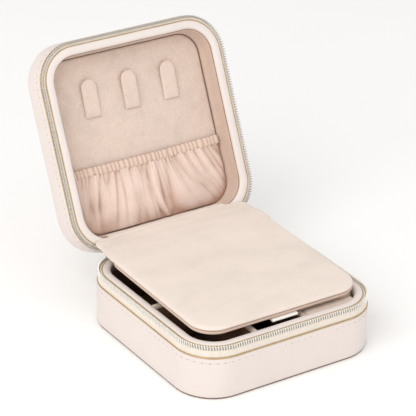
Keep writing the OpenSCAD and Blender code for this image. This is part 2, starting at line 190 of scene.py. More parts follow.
def woven(name, color, pitch=0.42):
    """Plain weave with the given pitch in millimetres."""
    m = Nodes(name, color, 0.8, Specular_IOR_Level=0.25, Sheen_Weight=0.15, Sheen_Roughness=0.5)
    k = 1000.0 / pitch
    across = m.node("ShaderNodeTexWave", {"Vector": m.coord, "Scale": k / 6.28, "Distortion": 0.4},
                    bands_direction="Z", wave_profile="SIN").outputs["Fac"]
    along = m.node("ShaderNodeTexWave", {"Vector": m.mapped((1, 1, 0)), "Scale": k / 6.28,
                                         "Distortion": 0.4},
                   bands_direction="DIAGONAL", wave_profile="SIN").outputs["Fac"]
    weave = m.math("MULTIPLY", across, along)
    var = m.noise(260, 4)
    col = m.ramp(var, [(0.3, shade(color, 0.95)), (0.7, shade(color, 1.03))])
    dark = m.ramp(weave, [(0.0, (0.93, 0.92, 0.91)), (0.5, (1, 1, 1))])
    return m.out(m.mix(col, dark, 0.8, "MULTIPLY"), m.bump(weave, 0.00008, 0.7))


def metal(name, color, rough, wear=0.06):
    """Plated metal with smears and fine scratches."""
    m = Nodes(name, color, rough, Metallic=1.0)
    smear = m.noise(420, 5, 0.65)
    scratch = m.noise(1.0, 3, 0.6, m.mapped((900, 120, 2600)))
    r = m.node("ShaderNodeMapRange", {"Value": smear, "To Min": rough - wear, "To Max": rough + wear * 1.6})
    col = m.ramp(smear, [(0.3, shade(color, 0.93)), (0.7, shade(color, 1.03))])
    return m.out(col, m.bump(scratch, 0.00001, 0.5), r.outputs[0])


def foil(name, color):
    """Gold coloured foil on the piping."""
    m = Nodes(name, color, 0.38, Metallic=0.55, Specular_IOR_Level=0.5)
    grain = m.noise(2600, 3)
    var = m.noise(180, 4)
    col = m.ramp(var, [(0.3, shade(color, 0.86)), (0.7, shade(color, 1.1))])
    return m.out(col, m.bump(grain, 0.00004, 0.5))


def board(name, color):
    """Flecked card or tape core."""
    m = Nodes(name, color, 0.9, Specular_IOR_Level=0.2)
    fleck = m.noise(900, 5, 0.7)
    col = m.ramp(fleck, [(0.3, shade(color, 0.8)), (0.7, shade(color, 1.15))])
    return m.out(col, m.bump(fleck, 0.00008, 0.5))


SKIN = leather("shell_leather", (0.770, 0.690, 0.650))
# dark brown underside: the dark edge of the bottom panel, and painted contact shadow along the lower edge
UNDER = leather("bottom_leather", (0.20, 0.13, 0.10), 1.2, 0.6)
CREAM = leather("collar_leather", (0.785, 0.715, 0.675), 0.45, 0.42)
TAB = leather("tab_leather", (0.93, 0.90, 0.86), 0.5, 0.45)
# painted shade: dull dark dots for the shadow inside the needle holes
PIT_SHADE = board("needle_hole", (0.40, 0.33, 0.33))
GOLD = foil("gold_piping", (0.52, 0.36, 0.17))
GOLD_METAL = metal("gold_metal", (0.83, 0.66, 0.40), 0.24)
NICKEL = metal("zip_elements", (0.95, 0.93, 0.88), 0.42)
# painted shade: the lid's elements are the base's metal made darker, for the shade they sit in
NICKEL_LID_SHADED = metal("zip_elements_lid_painted_shade", (0.64, 0.625, 0.60), 0.34)
CORE = board("zip_core", (0.46, 0.42, 0.37))
CORE_LID = board("zip_core_lid", (0.62, 0.575, 0.53))
# dark brown for a binding seam and for painted shadow in the gap round the back panel
LINE = leather("edge_binding_and_gap_shadow", (0.26, 0.16, 0.11), 0.4, 0.6)
TAPE = woven("zip_tape", (0.80, 0.73, 0.64))
CARD = board("card", (0.17, 0.12, 0.09))
PAD_V = velvet("pad_velvet", (0.775, 0.675, 0.605), 0.09, ((26, 60, 30), (0, 0, 0.6)), 0.4)
PAD_EDGE = velvet("pad_edge_velvet", (0.62, 0.47, 0.38), 0.06, None, 0.8)
LID_V = velvet("lid_velvet", (0.715, 0.58, 0.50), 0.12, None, 1.3)
LINE_V = velvet("lining_velvet", (0.66, 0.51, 0.425), 0.08, None, 1.1)
HOOK_V = velvet("hook_velvet", (0.74, 0.60, 0.52), 0.07, None, 1.0)

# painted shade low in the folds of the gathered cloth and hem, near the back panel; painted light on ridges
LID_UP = (M_LID.to_3x3() @ Vector((0, 0, -1))).normalized()
PANEL_AT = LID_UP.dot(M_LID @ Vector((0, 0, PANEL_Z))) * 0.001
POCKET_SHADED_V = velvet("pocket_velvet", (0.71, 0.555, 0.48), 0.08, ((30, 60, 60), (0.3, 0.2, 0.4)), 0.9,
                  folds=(LID_UP, PANEL_AT + 0.0012, PANEL_AT + 0.0040, (0.68, 0.545, 0.465),
                         (1.17, 1.18, 1.19)))
HEM_SHADED_V = velvet("hem_velvet_painted_shade", (0.72, 0.565, 0.48), 0.06, None, 0.9,
               folds=(LID_UP, PANEL_AT + 0.0018, PANEL_AT + 0.0040, (0.72, 0.60, 0.53),
                      (1.12, 1.10, 1.08)))
# painted shade: the tray's lining and floor velvet is coloured dark brown for the shade under the flap
TRAY_SHADE_V = velvet("tray_velvet", (0.16, 0.085, 0.055), 0.10, None, 1.1, 0.92, 0.1)
DIV_V = velvet("divider_velvet", (0.74, 0.60, 0.50), 0.07, None, 1.0)
# painted shade: the divider velvet coloured dark brown for the sides down in the bays
DIV_SIDE_SHADE = velvet("divider_side_painted_shade", (0.26, 0.135, 0.08), 0.07, None, 1.0, 0.92, 0.1)
# painted light: the rolls' beige velvet is coloured lighter than the divider tops, for light caught at the
# rim
ROLL_LIT_V = velvet("roll_velvet", (0.90, 0.76, 0.66), 0.07, None, 1.0)


# ---------------------------------------------------------------- mesh helpers

def finish_mesh(name, verts, faces, matrix, mat):
    """Object from millimetre points, placed by the matrix and scaled to metres."""
    me = bpy.data.meshes.new(name)
    me.from_pydata([tuple((matrix @ Vector(v)) * 0.001) for v in verts], [], faces)
    bm = bmesh.new()
    bm.from_mesh(me)
    bmesh.ops.recalc_face_normals(bm, faces=bm.faces)
    bm.to_mesh(me)
    bm.free()
    me.materials.append(mat)
    me.shade_smooth()
    ob = bpy.data.objects.new(name, me)
    bpy.context.scene.collection.objects.link(ob)
    return ob


def add(ob, body, slot, *nodes):
    """Fastens a piece to a body, in place of the CAD nodes named."""
    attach(ob, body)
    if nodes:
        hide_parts(*nodes)
    return ob


def sleeve(rows, n, closed=False, caps=True):
    """Faces over rows of n points each; a closed sleeve goes round to its first row."""
    faces = []
    for a in range(rows if closed else rows - 1):
        b = (a + 1) % rows
        faces += [(a * n + i, a * n + (i + 1) % n, b * n + (i + 1) % n, b * n + i) for i in range(n)]
    if caps and not closed:
        faces += [tuple(range(n)), tuple(range((rows - 1) * n, rows * n))]
    return faces


def rrect(w, d, r, inset, nc=16, ns=2, cy=0.0, rb=None):
    """Closed outline, anticlockwise, as points. rb is another radius for the back corners."""
    out = []
    hw, hd = w / 2 - inset, d / 2 - inset
    for k, (sx, sy) in enumerate(((1, 1), (-1, 1), (-1, -1), (1, -1))):
        rad = max((rb if rb is not None and sy > 0 else r) - inset, 0.3)
        for i in range(nc + 1):
            a = math.radians(90 * k + 90 * i / nc)
            out.append((sx * (hw - rad) + rad * math.cos(a),
                        cy + sy * (hd - rad) + rad * math.sin(a)))
    full = []
    for a, b in zip(out, out[1:] + out[:1]):
        full.append(a)
        if math.dist(a, b) > 8:
            full += [(a[0] + (b[0] - a[0]) * j / ns, a[1] + (b[1] - a[1]) * j / ns)
                     for j in range(1, ns)]
    return full


def stack(name, rings, matrix, mat, w=W, d=W, r=R, cy=0.0, nc=16, ns=2, warp=None, rb=None, fill=14):
    """Rings of one outline at (inset, z) joined into a skin; the last is filled to its centre."""
    loops = [[(x, y, z) for x, y in rrect(w, d, r, inset, nc, ns, cy, rb)] for inset, z in rings]
    loops += [[(x * k / fill, cy + (y - cy) * k / fill, z) for x, y, z in loops[-1]]
              for k in range(fill - 1, 0, -1)]
    verts = [warp(*v) if warp else v for loop in loops for v in loop]
    n = len(loops[0])
    faces = sleeve(len(loops), n, caps=False)
    for k in (0, len(loops) - 1):
        c = Vector((0, 0, 0))
        for v in verts[k * n:(k + 1) * n]:
            c += Vector(v) / n
        verts.append(tuple(c))
        faces += [(k * n + i, k * n + (i + 1) % n, len(verts) - 1) for i in range(n)]
    return finish_mesh(name, verts, faces, matrix, mat)


def arc(cx, cz, r, a0, a1, n):
    """Section points (inset, z) on a circle; 0 degrees points outward."""
    return [(cx - r * math.cos(math.radians(a0 + (a1 - a0) * i / n)),
             cz + r * math.sin(math.radians(a0 + (a1 - a0) * i / n))) for i in range(n + 1)]


SIDE = W - 2 * R
ARC = R * math.pi / 2
ZIP_LEN = 4 * ARC + 3 * SIDE
WALL_LEN = ZIP_LEN + SIDE


def on_wall(s, inset=0.0):
    """Point, outward normal and direction at length s, clockwise from the back right corner."""
    q = HALF - R
    parts = [("c", q, q, 90), ("l", HALF, q, 0), ("c", q, -q, 0), ("l", q, -HALF, -90),
             ("c", -q, -q, -90), ("l", -HALF, -q, 180), ("c", -q, q, 180), ("l", -q, HALF, 90)]
    for kind, x, y, a in parts:
        size = ARC if kind == "c" else SIDE
        if s <= size + 1e-9:
            if kind == "c":
                a = math.radians(a - 90 * s / ARC)
                n = Vector((math.cos(a), math.sin(a), 0))
                return Vector((x, y, 0)) + n * (R - inset), n, Vector((n.y, -n.x, 0))
            a = math.radians(a)
            n = Vector((math.cos(a), math.sin(a), 0))
            t = Vector((n.y, -n.x, 0))
            return Vector((x, y, 0)) - n * inset + t * s, n, t
        s -= size
    raise ValueError("length past the end of the wall")


def sweep(name, section, matrix, mat, s0=0.0, s1=None, step=2.6, wave=None):
    """A closed section (inset, z) carried along the wall, whole or from s0 to s1."""
    whole = s1 is None
    total = WALL_LEN if whole else s1 - s0
    n = int(total / step)
    rows = n if whole else n + 1
    verts = []
    for i in range(rows):
        s = s0 + total * i / n
        for inset, z in section:
            p, outward, _ = on_wall(s)
            p = p - outward * (inset + (wave(s, z) if wave else 0))
            verts.append((p.x, p.y, z))
    return finish_mesh(name, verts, sleeve(rows, len(section), closed=whole), matrix, mat)


def cord_section(inset, z, half_width, half_height, n):
    """Section of a round or oval cord, with n points."""
    return [(inset + half_width * math.cos(2 * math.pi * i / n),
             z + half_height * math.sin(2 * math.pi * i / n)) for i in range(n)]


def over(points):
    """Mirrors base heights into the lid, still shut."""
    return [(i, 2 * BASE_H - z) for i, z in points]


def ease(x, a, b):
    """Smooth step from 0 at a to 1 at b."""
    t = max(0.0, min(1.0, (x - a) / (b - a)))
    return t * t * (3 - 2 * t)


def scatter(name, places, template, matrix, mat):
    """Copies a small closed mesh to many places. Each place is (origin, x axis, y axis, z axis)."""
    tv, tf = template
    verts, faces = [], []
    for o, ex, ey, ez in places:
        base = len(verts)
        verts += [tuple(o + ex * x + ey * y + ez * z) for x, y, z in tv]
        faces += [tuple(base + i for i in f) for f in tf]
    return finish_mesh(name, verts, faces, matrix, mat)


def capsule(length, r, n=6, flat=1.0):
    """Template along x: rounded bar, thinner along z by flat."""
    xs = [(-length / 2, 0.0), (-length / 2 + r * 0.35, 0.75), (-length / 2 + r, 1.0),
          (length / 2 - r, 1.0), (length / 2 - r * 0.35, 0.75), (length / 2, 0.0)]
    verts = []
    for x, k in xs:
        verts += [(x, r * max(k, 0.02) * math.cos(2 * math.pi * i / n),
                   r * flat * max(k, 0.02) * math.sin(2 * math.pi * i / n)) for i in range(n)]
    return verts, sleeve(len(xs), n)


def slab(name, top, bottom, nu, nv, matrix, mat):
    """A closed sheet from two functions of u and v, from 0 to 1, that give points."""
    verts, faces = [], []
    for f in (top, bottom):
        for j in range(nv + 1):
            for i in range(nu + 1):
                verts.append(tuple(f(i / nu, j / nv)))
    k = (nu + 1) * (nv + 1)

    def at(i, j, side):
        return side * k + j * (nu + 1) + i
    for side in (0, 1):
        for j in range(nv):
            for i in range(nu):
                f = (at(i, j, side), at(i + 1, j, side), at(i + 1, j + 1, side), at(i, j + 1, side))
                faces.append(f if side == 0 else f[::-1])
    for j in range(nv):
        for i in (0, nu):
            faces.append((at(i, j, 0), at(i, j + 1, 0), at(i, j + 1, 1), at(i, j, 1)))
    for i in range(nu):
        for j in (0, nv):
            faces.append((at(i, j, 0), at(i + 1, j, 0), at(i + 1, j, 1), at(i, j, 1)))
    return finish_mesh(name, verts, faces, matrix, mat)


def bevelled(node, name, width, mat, body, slot):
    """A copy of a metal CAD node with softened edges."""
    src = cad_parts[node]
    me = src.data.copy()
    me.materials.clear()
    me.materials.append(mat)
    ob = bpy.data.objects.new(name, me)
    bpy.context.scene.collection.objects.link(ob)
    bm = bmesh.new()
    bm.from_mesh(me)
    bmesh.ops.remove_doubles(bm, verts=bm.verts, dist=1e-6)
    bmesh.ops.dissolve_limit(bm, angle_limit=math.radians(1), verts=bm.verts, edges=bm.edges)
    sharp = [e for e in bm.edges if len(e.link_faces) == 2 and e.calc_face_angle(0) > 0.6]
    bmesh.ops.bevel(bm, geom=sharp, offset=width, segments=3, profile=0.6, affect="EDGES",
                    clamp_overlap=True)
    bm.to_mesh(me)
    bm.free()
    me.shade_smooth()
    return add(ob, body, slot, node)


# ---------------------------------------------------------------- camera, light, floor

cam = bpy.data.objects.new("camera", bpy.data.cameras.new("camera"))
bpy.context.scene.collection.objects.link(cam)
bpy.context.scene.camera = cam
cam.location = (-0.6122, -0.87997, 0.61945)
cam.rotation_euler = [math.radians(a) for a in (62.94325, -1.31471, -33.43778)]
cam.data.sensor_width = 36
cam.data.lens = 201.2538
cam.data.clip_start = 0.01

world = bpy.data.worlds.new("studio")
bpy.context.scene.world = world
world.use_nodes = True
world.node_tree.nodes["Background"].inputs[0].default_value = (1.0, 0.99, 0.98, 1)
world.node_tree.nodes["Background"].inputs[1].default_value = 0.84
bpy.context.scene.view_settings.view_transform = "Standard"


def area(name, loc, size, power, color=(1, 1, 1), at=(0, 0.02, 0.04)):
    """Square soft box that faces the case."""
    light = bpy.data.lights.new(name, "AREA")
    light.shape, light.size, light.energy, light.color = "SQUARE", size, power, color
    ob = bpy.data.objects.new(name, light)
    bpy.context.scene.collection.objects.link(ob)
    ob.location = loc
    ob.rotation_euler = (Vector(at) - Vector(loc)).to_track_quat("-Z", "Y").to_euler()


area("key", (-0.85, -0.35, 0.9), 0.9, 7.0, (1, 0.985, 0.965))
area("front", (0.1, -1.1, 0.42), 0.5, 1.3)

floor_me = bpy.data.meshes.new("floor")
floor_me.from_pydata([(-6, -6, 0), (6, -6, 0), (6, 6, 0), (-6, 6, 0)], [], [(0, 1, 2, 3)])
floor = bpy.data.objects.new("floor", floor_me)
bpy.context.scene.collection.objects.link(floor)
fl = Nodes("floor", (0.93, 0.93, 0.92), 0.9, Specular_IOR_Level=0.1)
floor_tone = fl.ramp(fl.noise(3, 3), [(0.3, (0.935, 0.935, 0.93)), (0.7, (0.955, 0.955, 0.95))])
floor_me.materials.append(fl.out(floor_tone))


# ---------------------------------------------------------------- shell, piping and zip

STITCHES = 105      # round one shell


def stitches(prefix, z, matrix, body, slot):
    """Sunk thread lengths and dark dots between them, painted shade in the needle holes, round the wall."""
    pitch = WALL_LEN / STITCHES
    threads = []
    holes = []
    for i in range(STITCHES):
        for row, phase, inset in ((threads, 0.5, 0.03), (holes, 0.0, 0.02)):
            p, outward, along = on_wall(((i + phase) * pitch) % WALL_LEN, inset)
            p.z = z
            row.append((p, along, Vector((0, 0, 1)), outward))
    add(scatter(prefix + "_stitches", threads, capsule(pitch * 0.70, 0.26, 6, 0.45), matrix, SKIN),
        body, slot)
    add(scatter(prefix + "_needle_holes", holes, capsule(0.75, 0.33, 6, 0.25), matrix, PIT_SHADE), body, slot)


def soft(amount, size, seed=0.0):
    """Slight unevenness along a swept section, as a change of inset."""
    def wave(s, z):
        return amount * noise.noise(Vector((s / size, z / size + seed, seed)))
    return wave


# sections are points (inset from the wall, height)
base_side = [(0.8, 0.95), (0.35, 0.92), (0.08, 1.05), (0.0, 1.5), (-0.05, 6), (-0.07, 12), (-0.05, 18),
             (0.0, 22.2), (0.07, 22.9), (0.22, 23.35), (0.5, 23.62), (0.8, 23.62)]
add(sweep("base_leather", base_side, M_BASE, SKIN, wave=soft(0.05, 14)), "base", "shell_leather",
    "base_cover")
underside = [(10, 0.8), (0.9, 0.8), (0.42, 0.7), (0.36, 0.35), (0.5, 0.1), (1.2, 0.02), (8, 0.02),
             (16, 0.02)]
add(stack("base_underside", underside, M_BASE, UNDER), "base", "bottom_leather", "base_bottom_cover")
stitches("base", 20.95, M_BASE, "base", "shell_leather")

lid_inside = [(6, 48.3), (2.4, 48.2), (0.82, 46.5)]
lid_side = [(1.2, 33.4), (0.95, 33.4), (0.65, 33.65), (0.42, 34.1), (0.2, 35), (0.05, 36.2),
            (-0.05, 39), (-0.03, 44.5)]
lid_top = arc(2.1, 46.9, 2.1, 12, 86, 7) + [(3.2, 49.03), (6, 49.08), (10, 49.1), (16, 49.1)]
add(stack("lid_leather", lid_inside + lid_side + lid_top, M_LID, SKIN, nc=22, ns=12), "lid",
    "shell_leather", "lid_cover")
stitches("lid", 36.9, M_LID, "lid", "shell_leather")

piping = cord_section(0.22, 23.98, 0.4, 0.37, 12)
lid_piping = [(i + 0.14, z - 3.9) for i, z in over(piping)]
add(sweep("base_outer_gold", piping, M_BASE, GOLD, wave=soft(0.06, 7, 2)), "base", "gold_piping",
    "base_outer_piping")
add(sweep("lid_outer_gold", lid_piping, M_LID, GOLD, wave=soft(0.06, 7, 5)), "lid", "gold_piping",
    "lid_outer_piping")

tape = [(0.32, 24.2), (0.28, 25.2), (0.33, 26.6), (0.42, 27.6), (0.5, 28.25), (1.0, 28.25),
        (0.95, 27), (0.82, 24.2)]
lid_tape = over([(0.65, 28.1), (0.55, 28.5), (0.5, 29.0), (0.7, 29.4), (1.2, 29.4), (1.2, 28.1)])
for sec, mtx, body in ((tape, M_BASE, "base"), (lid_tape, M_LID, "lid")):
    add(sweep(body + "_tape", sec, mtx, TAPE, s0=0.15, s1=ZIP_LEN - 0.15, wave=soft(0.05, 9, 3)),
        body, "zip_tape", body + "_zip_tape")

# ribbon from the elements up to the inner piping, with the cord that the elements sit on
ribbon = [(1.25, 28.6), (1.25, 29.2), (1.7, 29.4), (2.3, 29.5), (2.8, 29.5), (3.0, 29.2),
          (2.6, 28.9), (1.8, 28.8)]
cord = [(0.80, 27.9), (0.80, 29.6), (1.2, 29.7), (1.25, 27.9)]
for body, mtx, core, ribbon_at, cord_at in (("base", M_BASE, CORE, ribbon, cord),
                                            ("lid", M_LID, CORE_LID, over(ribbon), over(cord))):
    add(sweep(body + "_rim_ribbon", ribbon_at, mtx, TAPE, s0=0, s1=ZIP_LEN, wave=soft(0.08, 8, 7)),
        body, "zip_tape")
    add(sweep(body + "_zip_core", cord_at, mtx, core, s0=0.2, s1=ZIP_LEN - 0.2), body, "zip_elements")


def element():
    """One zip element: x along the tape, y up toward the other chain, z outward."""
    # height, half width and half depth of its eight-sided rings
    rows = [(0.0, 0.24, 0.42), (0.25, 0.29, 0.56), (1.0, 0.29, 0.58), (1.7, 0.29, 0.58),
            (2.25, 0.33, 0.56), (2.6, 0.29, 0.48), (2.82, 0.17, 0.30)]
    verts = []
    for y, hx, hz in rows:
        lean = 0.18 * (y - 1.2)
        for i in range(8):
            a = math.pi / 8 + i * math.pi / 4
            c, s = math.cos(a), math.sin(a)
            verts.append((lean + hx * math.copysign(abs(c) ** 0.7, c), y,
                          hz * math.copysign(abs(s) ** 0.7, s)))
    return verts, sleeve(len(rows), 8)


CORNER_ELEMENTS = 24
SIDE_ELEMENTS = 50
ELEMENT_FOOT = 28.12    # height of an element's foot in the base


def chain(body, matrix, mat, phase, inset, foot, up):
    """A row of elements round four corners and three sides, spaced as the CAD chain is."""
    places = []
    s = 0.0
    for stretch in range(7):
        n, size = (CORNER_ELEMENTS, ARC) if stretch % 2 == 0 else (SIDE_ELEMENTS, SIDE)
        for i in range(n):
            # counted from the far end of each stretch
            p, outward, along = on_wall(s + size * (n - i - phase) / n, inset)
            p.z = foot
            places.append((p, along, Vector((0, 0, up)), outward))
        s += size
    add(scatter(body + "_elements", places, element(), matrix, mat), body, "zip_elements",
        body + "_zip_teeth")


chain("base", M_BASE, NICKEL, 0.25, 0.68, ELEMENT_FOOT, 1)
chain("lid", M_LID, NICKEL_LID_SHADED, 0.75, 0.55, 2 * BASE_H - ELEMENT_FOOT, -1)

# padded collar and the inner gold line beside it
collar_top = [(2.82, 28.9), (2.84, 29.5), (2.95, 29.9), (3.25, 30.15), (3.8, 30.28), (4.6, 30.36),
              (5.6, 30.36), (6.3, 30.26), (6.9, 29.96), (7.28, 29.42), (7.4, 28.8)]
collar = collar_top + [(7.42, 27.5), (7.4, 24.5), (2.82, 24.5)]
lid_collar = ([(i + (0.15 if i > 6 else 0), z) for i, z in collar_top]
              + [(7.5, 28.5), (4, 28.3), (2.82, 28.5)])
add(sweep("base_collar", collar, M_BASE, CREAM, wave=soft(0.10, 16, 9)), "base", "collar_leather",
    "base_rim_collar")
add(sweep("lid_collar", over(lid_collar), M_LID, CREAM, wave=soft(0.10, 16, 12)), "lid",
    "collar_leather", "lid_rim_collar")
bead = cord_section(2.62, 29.72, 0.27, 0.26, 10)
add(sweep("base_inner_gold", bead, M_BASE, GOLD, wave=soft(0.08, 6, 14)), "base", "gold_piping",
    "base_inner_piping")
add(sweep("lid_inner_gold", over(bead), M_LID, GOLD, wave=soft(0.08, 6, 17)), "lid", "gold_piping",
    "lid_inner_piping")

for node, name, body in (("base_zip_stops", "base_stops", "base"), ("lid_zip_stops", "lid_stops", "lid")):
    bevelled(node, name, 0.00015, NICKEL, body, "zip_elements")
bevelled("zip_slider", "slider", 0.00018, GOLD_METAL, "slider", "gold_metal")
bevelled("zip_puller", "puller", 0.0002, GOLD_METAL, "puller", "gold_metal")


def lid_pt(yl, zl):
    """Point of the open lid at yl outward from its rear wall and zl above its rim."""
    c, s = math.cos(OPEN), math.sin(OPEN)
    return (HALF + yl * c + zl * s, BASE_H - yl * s + zl * c)


# leather spine as (y, z), folded at the hinge line while the lid is open
outer = [(HALF, 24.3), (HALF + 0.02, 27), (HALF, 29.4), (HALF - 0.02, 30.1), lid_pt(0.02, 0.9),
         lid_pt(0, 1.8), lid_pt(0.02, 3), lid_pt(0, 4.2)]
inner = [(HALF - 0.8, 24.3), (HALF - 0.8, 27), (HALF - 0.8, 29.6), (HALF - 0.62, 30.9),
         (HALF - 0.05, 31.4), lid_pt(-0.8, 1.2), lid_pt(-0.8, 2.6), lid_pt(-0.8, 4.2)]


def smooth_line(pts, n):
    """n + 1 points on a curve through all of pts."""
    out = []
    for i in range(n + 1):
        t = i / n * (len(pts) - 1)
        k = min(int(t), len(pts) - 2)
        f = t - k
        p = [pts[max(0, min(len(pts) - 1, k + d))] for d in (-1, 0, 1, 2)]
        out.append(tuple(0.5 * ((2 * p[1][c]) + (p[2][c] - p[0][c]) * f
                                + (2 * p[0][c] - 5 * p[1][c] + 4 * p[2][c] - p[3][c]) * f * f
                                + (3 * p[1][c] - p[0][c] - 3 * p[2][c] + p[3][c]) * f ** 3) for c in (0, 1)))
    return out


SPINE_W = 66.0
SPINE_N = 26
spine_outer = smooth_line(outer, SPINE_N)
spine_inner = smooth_line(inner, SPINE_N)


def spine_top(u, v):
    y, z = spine_outer[round(v * SPINE_N)]
    return (SPINE_W * (u - 0.5), y + 0.05 * noise.noise(Vector((u * 14, v * 3, 4))), z)


def spine_in(u, v):
    y, z = spine_inner[round(v * SPINE_N)]
    return (SPINE_W * (u - 0.5), y, z)


spine = slab("spine", spine_top, spine_in, 40, SPINE_N, M_BASE, SKIN)
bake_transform(spine)
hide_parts("spine_leather")


# ---------------------------------------------------------------- tray

def carry(node, mat):
    """Gives a CAD node, which stays as it is, its material."""
    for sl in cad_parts[node].material_slots:
        sl.material = mat


# the lining and floor of the tray take the dark velvet that is painted shade
carry("base_wall_lining", TRAY_SHADE_V)
carry("base_floor_pad", TRAY_SHADE_V)
carry("base_tray_board", CARD)
carry("lid_board", CARD)
carry("pad_board", CARD)


TRAY_END = 50.1     # half width of the tray inside its lining


def divider(name, x0, y0, x1, y1, node):
    """Velvet over card: soft rounded top, slightly wavy."""
    a, b = Vector((x0, y0, 0)), Vector((x1, y1, 0))
    along = (b - a).normalized()
    across = Vector((-along.y, along.x, 0))
    half = [(-1.5, 3.6), (-1.5, 12), (-1.5, 22), (-1.5, 27.2), (-1.36, 28.1), (-0.95, 28.7),
            (-0.35, 28.98)]
    sec = half + [(-o, z) for o, z in half[::-1]]
    n = int((b - a).length / 3)

    def f(u, v):
        o, z = sec[round(v * (len(sec) - 1))]
        k = 0.10 * noise.noise(Vector((u * (b - a).length / 9, z / 11, x0)))
        p = a + (b - a) * u + across * (o + k * (1 if z > 4 else 0))
        return (p.x, p.y, z)

    def g(u, v):
        o, z = sec[round(v * (len(sec) - 1))]
        p = a + (b - a) * u + across * o * 0.4
        return (p.x, p.y, 3.6 + (z - 3.6) * 0.5)
    ob = slab(name, f, g, n, len(sec) - 1, M_BASE, DIV_V)
    # painted shade: faces below the rounded top take the dark copy of the velvet
    ob.data.materials.append(DIV_SIDE_SHADE)
    for poly in ob.data.polygons:
        poly.material_index = int(poly.center.z < 0.0274)
    add(ob, "base", "tray_velvet", node)


divider("divider_a", -18, -TRAY_END, -18, TRAY_END, "divider_left")
divider("divider_b", 12.5, -TRAY_END, 12.5, TRAY_END, "divider_right")
divider("divider_c", -TRAY_END, 0, -19.5, 0, "divider_left_bay")
divider("divider_d", 14, 5.7, TRAY_END, 5.7, "divider_right_bay")

ROLL_PITCH = 9.0
ROLL_TOP = 28.9
ROLL_R = 4.32
# right ends: the two rolls at the front keep clear of the rounded corner
ROLL_ENDS = [46.0, 49.0, 49.9, 49.9, 49.9, 49.9]


def ring_roll(i, x_end):
    """Foam roll i from the front, in velvet: u runs along it and v over it."""
    x0 = 14.2
    yc = -TRAY_END + ROLL_PITCH * (i + 0.5) + 0.1

    def outside(u, v):
        x = x0 + (x_end - x0) * u
        a = math.pi * v
        end = math.sqrt(max(0.0, 1 - (2 * abs(u - 0.5)) ** 14)) * 0.25 + 0.75
        rr = ROLL_R * end
        z = (ROLL_TOP - ROLL_R + rr * math.sin(a)
             + 0.14 * noise.noise(Vector((x / 5, i * 3.1, a))))
        if v in (0, 1):
            z = 3.7
        return (x, yc - rr * math.cos(a), z)

    def inside(u, v):
        return (15.5 + 29 * u, yc + (v - 0.5) * 4, 3.7 + 12 * math.sin(math.pi * v))
    return slab("ring_roll_%d" % (i + 1), outside, inside, 26, 18, M_BASE, ROLL_LIT_V)


for i, x_end in enumerate(ROLL_ENDS):
    roll = ring_roll(i, x_end)
    add(roll, "base", "roll_velvet", *(["ring_rolls"] if i == 0 else []))


# ---------------------------------------------------------------- lid lining, pocket and hooks

wall = [(7.0, 32.3), (7.72, 32.7), (7.74, 34), (7.74, 38), (7.9, 39.6), (8.4, 41.3), (9.1, 42.6),
        (9.35, 43.4), (3, 43.4), (3, 35.6), (7, 35.6)]
add(sweep("lid_lining", wall, M_LID, LINE_V, wave=soft(0.12, 11, 20)), "lid", "lid_velvet",
    "lid_wall_lining")

# dark cords: a binding seam at the collar's inner edge, and painted shadow in the gap round the back panel
for name, inset, z, r in (("lid_collar_binding", 7.58, 32.25, 0.24),
                          ("lid_panel_shadow_line", 9.5, 43.0, 0.26)):
    add(sweep(name, cord_section(inset, z, r, r, 8), M_LID, LINE, wave=soft(0.10, 9, 30)), "lid",
        "lid_velvet")


def quilt(x, y, z):
    """Slight waves in the velvet on the face of the panel, none at its sides."""
    k = 0.10 * noise.noise(Vector((x / 14, y / 14, 3)))
    return (x, y, z + (k if z < 43.6 else 0))


panel = [(9.2, 45.5), (9.4, 44.2), (9.55, 43.6), (9.85, 43.25), (10.4, 43.06), (12, 42.98),
         (20, 42.95), (30, 42.95), (42, 42.95)]
add(stack("lid_panel", panel, M_LID, LID_V, nc=16, ns=20, warp=quilt), "lid", "lid_velvet",
    "lid_back_panel")


HOOK_L = 21.0
HOOK_HALF = 4.75


def hook(name, x0, node, seed):
    """Puffy tongue, creased at its foot: u goes across, v from foot to tip."""
    lean = Matrix.Translation((x0, HALF - 72, 43.25)) @ Matrix.Rotation(math.radians(4.5), 4, "X")

    def edge(t):
        """Half width at t of the length: straight sides, then a round tip."""
        y = t * HOOK_L
        if y < HOOK_L - HOOK_HALF:
            return HOOK_HALF
        return math.sqrt(max(0.0, HOOK_HALF ** 2 - (y - HOOK_L + HOOK_HALF) ** 2))

    def face(u, v, sign):
        t = v if v < 0.7 else 0.7 + 0.3 * math.sin((v - 0.7) / 0.3 * math.pi / 2)
        x = 2 * u - 1
        rim = (1 - abs(x) ** 6) ** 0.5
        tip = math.sqrt(max(0.0, 1 - t ** 22))
        foot = min(1.0, 0.35 + t * 9)
        z = -0.8 + sign * 0.8 * rim * tip * foot + 0.05 * noise.noise(Vector((x * 2, t * 6, seed)))
        return lean @ Vector((x * max(edge(t), 0.05), -t * HOOK_L, z))
    ob = slab(name, lambda u, v: face(u, v, -1), lambda u, v: face(u, v, 1), 18, 34, M_LID, HOOK_V)
    add(ob, node, "hook_velvet", node)


hook("hook_tab_left", -25, "hook_left", 1)
hook("hook_tab_centre", 0, "hook_centre", 2)
hook("hook_tab_right", 25, "hook_right", 3)

HEM_Y = HALF - 46.5     # top of the pocket's hem
FOOT_Y = HALF - 9.75    # foot of the pocket
HEM_HALF = 47.3
HEM_Z = 41.6


def pocket_half(y):
    """Half width of the panel at height y, inside its rounded corners."""
    q = HALF - 9.6
    corner = R - 9.6
    k = y - (q - corner)
    return q - (corner - math.sqrt(max(0.0, corner ** 2 - k * k)) if k > 0 else 0) - 0.1


